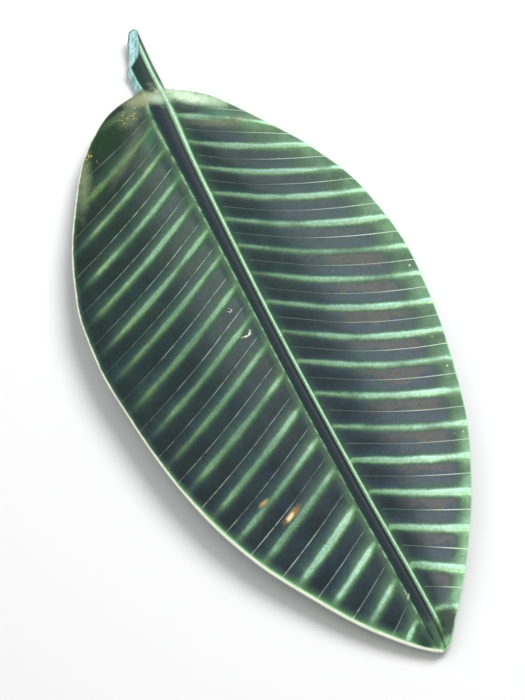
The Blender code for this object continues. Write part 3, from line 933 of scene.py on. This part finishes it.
    # The colour that this depth of glaze gives
    seen = [
        calc("MULTIPLY", calc("EXPONENT", calc("MULTIPLY", depth, -absorbs)), clay)
        for clay, absorbs in zip(look["clay"], look["absorbs"])
    ]
    colour = addNode(tree, "ShaderNodeCombineColor", seen)
    deep = ramp(depth, "deep")
    colour = tinted(colour, deep, "deepTint")
    colour = tinted(colour, times(before, strength, ramp(along, "tealSide")), "tealSide")
    colour = tinted(colour, times(ramp(ragged, "tipwardSide"), after, strength), "greenSide")
    leftTint = blend(ramp(along, "leftCrestEnd"), look["leftCrest"], look["leftCrestEnd"])
    colour = blend(times(leftHalf, shape, rest(tipward)), colour, leftTint, "MULTIPLY")
    tints = noise("tints")
    colour = tinted(colour, times(deep, ramp(tints, "brownish")), "brownish")
    colour = tinted(colour, times(deep, ramp(tints, "bluish")), "bluish")
    slateAt = calc("ADD", vein, offset(broad, look["slateSpread"]))
    colour = tinted(colour, times(deep, ramp(slateAt, "slateFrom")), "slate")
    vivid = calc("MAXIMUM", beside, times(margin, bySide("greenMargin")))
    colour = tinted(colour, times(vivid, rest(lipCrest)), "greenSide")
    olive = times(leftHalf, ramp(vein, "oliveTo"), ramp(reach, "oliveOutside"))
    colour = tinted(colour, olive, "olive")

    # Painted reflection on the right half's deep glaze: warm in scallops that start at each crest,
    # cool between them; then a painted grey sheen in the left half's inner pools
    patch = times(noise("scallops"), look["scallopSize"])
    patch = ramp(calc("SUBTRACT", patch, calc("FRACT", vein)), "scallopEdge")
    start = between(ramp(vein, "scallopTurn"), *look["scallopStart"])
    patch = times(patch, ramp(calc("SUBTRACT", along, start), "scallopStart"))
    patch = times(patch, ramp(vein, "scallopsFrom"), ramp(along, "scallopFall"))
    # where the painted reflection lies on the right half
    milky = times(rightHalf, band(along, "milky"), ramp(vein, "milkyFrom"), deep)
    colour = blend(times(milky, rest(patch)), colour, look["coolHaze"], "ADD")
    colour = blend(times(milky, patch), colour, look["warmHaze"], "ADD")
    # Painted grey sheen in the left half's inner pools
    inner = times(ramp(along, "greyFall"), ramp(vein, "greyTo"), ramp(reach, "greyOutside"))
    inner = times(inner, leftHalf, deep)
    colour = blend(inner, colour, look["greyHaze"], "ADD")

    # The groove, then stains, specks, painted crescent highlights and the glaze's grain
    saddle = times(band(y, "saddle"), look["grooveFilled"])
    inGroove = times(ramp(reach, "inGroove"), rest(saddle), ramp(y, "grooveEnd"))
    grooveColour = blend(ramp(y, "onStem"), look["groove"], look["stemGroove"])
    colour = blend(inGroove, colour, grooveColour)
    clear = times(rest(times(lipCrest, rightHalf, look["cleanLip"])), upper)
    for *oval, share, paint in look["stains"].values():
        colour = blend(times(spot(*oval), share, clear), colour, paint)
    # Painted highlights: pale crescents
    for x, across, length, width, turn, softness in look["crescents"]:
        hollow = spot(x - 0.2 * length, across + 0.32 * width, length, width, turn, softness)
        crescentGlint = times(spot(x, across, length, width, turn, softness), rest(hollow), upper)
        colour = blend(crescentGlint, colour, look["paleSpeck"])
    # Pale dots near the right margin
    chips = times(specks(*look["chips"]), rightHalf, ramp(along, "chipsRise"))
    chips = times(chips, ramp(vein, "chipsFrom"), ramp(vein, "chipsTo"))
    colour = blend(chips, colour, look["paleSpeck"])
    gold = specks(*look["goldDots"])
    for corner in look["goldPlaces"]:
        dots = times(gold, spot(*corner, look["goldSoftness"]))
        colour = blend(dots, colour, look["goldSpeck"])
    mottle = calc("ADD", offset(grain, 2 * look["grain"]), offset(edges, look["grain"]))
    mottle = calc("ADD", 1.0, mottle)
    shade = addNode(tree, "ShaderNodeCombineColor", [mottle, mottle, mottle])
    colour = blend(1.0, colour, shade, "MULTIPLY")

    # The thin lines
    lineAway = calc("ABSOLUTE", offset(calc("FRACT", vein), leafDish["veinSpacing"]))
    line = times(ramp(lineAway, "hairline"), lineStrength)
    leftLine = between(tipward, ramp(along, "leftLineAtStem"), ramp(along, "leftLineAtTip"))
    leftLine = times(leftLine, ramp(edges, "lineBroken"))
    line = times(line, between(rightHalf, leftLine, ramp(along, "rightLine")))
    colour = blend(line, colour, look["hairline"])

    # The stem's cut end and inner wall, then the rim
    wall = times(ramp(y, "wallFrom"), leftHalf, ramp(reach, "wallOutside"))
    brushed = addNode(
        tree, "ShaderNodeMapping",
        {"Vector": place, "Rotation": look["strokeTurn"], "Scale": look["strokeSize"]},
        vector_type="TEXTURE",
    )
    strokes = {"Vector": brushed, "Scale": 1.0, "Detail": 3.0}
    strokes = addNode(tree, "ShaderNodeTexNoise", strokes)
    cutColour = blend(ramp(strokes, "strokes"), look["cutGlaze"], look["cutStroke"])
    colour = blend(calc("MAXIMUM", cut, wall), colour, cutColour)
    rimWidth = calc("ADD", look["rimWidth"], times(leftHalf, ramp(vein, "rimWiden")))
    past = calc("ADD", rim, offset(edges, look["rimRagged"]))
    bare = ramp(calc("SUBTRACT", past, rimWidth), "rimLine")
    rimColour = blend(rightHalf, look["rimLine"][left], look["rimLine"][right])
    colour = blend(times(bare, ramp(vein, "rimFrom")), colour, rimColour)

    # The underside is plain, with a bare foot
    below = rest(upper)
    plain = blend(ramp(tints, "underPale"), look["underGlaze"], look["underPale"])
    plain = blend(1.0, plain, shade, "MULTIPLY")
    colour = blend(times(below, ramp(rim, "underRim")), colour, plain)
    footEdge = calc("ADD", z, offset(edges, look["footRagged"]))
    foot = times(ramp(footEdge, "footHeight"), below, ramp(y, "footEnd"))
    footColour = blend(ramp(tints, "footShade"), look["foot"], look["footShade"])
    colour = blend(foot, colour, footColour)
    tree.links.new(colour, shader.inputs["Base Color"])
    rough = between(foot, look["roughness"], look["footRoughness"])
    tree.links.new(rough, shader.inputs["Roughness"])
    shader.inputs["IOR"].default_value = 1.5
    return material


def makeDish():
    dish = bpy.data.objects.new("glazedLeafDish", makeDishMesh())
    bpy.context.scene.collection.objects.link(dish)
    tree = veinTree()
    veins = dish.modifiers.new("raisedVeins", "NODES")
    veins.node_group = tree
    glaze = glazeMaterial()
    for socket in tree.interface.items_tree:
        if socket.name == "Glaze":
            veins[socket.identifier] = glaze
        elif socket.name != "Geometry":  # an input Vein Height takes the value veinHeight
            name = socket.name[0].lower() + socket.name[1:].replace(" ", "")
            veins[socket.identifier] = leafDish[name]
    shown = dish.evaluated_get(bpy.context.evaluated_depsgraph_get())
    finished = bpy.data.meshes.new_from_object(shown)
    dish.modifiers.clear()
    plain = dish.data
    dish.data = finished
    bpy.data.meshes.remove(plain)
    finished.name = "glazedLeafDish"
    return dish


dish = makeDish()
print("veins raised, triangles:", sum(len(face.vertices) - 2 for face in dish.data.polygons))
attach(dish, "root")
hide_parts("leaf_dish")

studio = {
    "floorSize": 3.0,
    "floorColour": (0.86, 0.86, 0.865, 1),
    "floorRoughness": 0.9,
    "roomStrength": 0.36,
    "ceilingPlace": (-0.4, 0.43, 0.81),  # direction of the brightest part of the room
    "ceilingStrength": 1.3,
    "ceilingEdge": (0.75, 0.97),  # how gradually it starts
    "lampPlace": (0.62, 0.3, 1.15),
    "lampSize": 0.8,
    "lampPower": 16,
}
photoView = {
    "aim": (-0.0039, -0.0210), "distance": 0.85, "elevation": 62, "azimuth": 24.42, "lens": 74.7,
}


def makeFloor():
    half = studio["floorSize"] / 2
    mesh = bpy.data.meshes.new("paleFloor")
    corners = [(-half, -half, 0), (half, -half, 0), (half, half, 0), (-half, half, 0)]
    mesh.from_pydata(corners, [], [(0, 1, 2, 3)])
    material = bpy.data.materials.new("palePaper")
    material.use_nodes = True
    shader = material.node_tree.nodes["Principled BSDF"]
    shader.inputs["Base Color"].default_value = studio["floorColour"]
    shader.inputs["Roughness"].default_value = studio["floorRoughness"]
    mesh.materials.append(material)
    floor = bpy.data.objects.new("paleFloor", mesh)
    bpy.context.scene.collection.objects.link(floor)


def makeLight():
    world = bpy.data.worlds.new("softRoom")
    world.use_nodes = True
    tree = world.node_tree
    sky = tree.nodes["Background"]
    direction = addNode(tree, "ShaderNodeTexCoord")
    towards = addNode(
        tree, "ShaderNodeVectorMath", (direction, Vector(studio["ceilingPlace"]).normalized()),
        output=1, operation="DOT_PRODUCT",
    )
    _, fade, _ = sums(tree)
    strengths = studio["roomStrength"], studio["ceilingStrength"]
    strength = fade(towards, *studio["ceilingEdge"], *strengths)
    tree.links.new(strength, sky.inputs["Strength"])
    sky.inputs["Color"].default_value = (1, 1, 1, 1)
    bpy.context.scene.world = world
    data = bpy.data.lights.new("windowLight", "AREA")
    data.shape = "DISK"
    data.size = studio["lampSize"]
    data.energy = studio["lampPower"]
    lamp = bpy.data.objects.new("windowLight", data)
    lamp.location = studio["lampPlace"]
    lamp.rotation_euler = Vector(studio["lampPlace"]).to_track_quat("Z", "Y").to_euler()
    lamp.visible_glossy = False
    bpy.context.scene.collection.objects.link(lamp)


def makeCamera():
    elevation, azimuth = math.radians(photoView["elevation"]), math.radians(photoView["azimuth"])
    flat = math.cos(elevation)
    forward = Vector((flat * math.sin(azimuth), flat * math.cos(azimuth), -math.sin(elevation)))
    data = bpy.data.cameras.new("photoCamera")
    data.lens = photoView["lens"]
    camera = bpy.data.objects.new("photoCamera", data)
    camera.location = Vector((*photoView["aim"], 0)) - forward * photoView["distance"]
    camera.rotation_euler = forward.to_track_quat("-Z", "Y").to_euler()
    bpy.context.scene.collection.objects.link(camera)
    bpy.context.scene.camera = camera


makeFloor()
makeLight()
makeCamera()
bpy.context.scene.view_settings.view_transform = "Standard"
print("stage set")
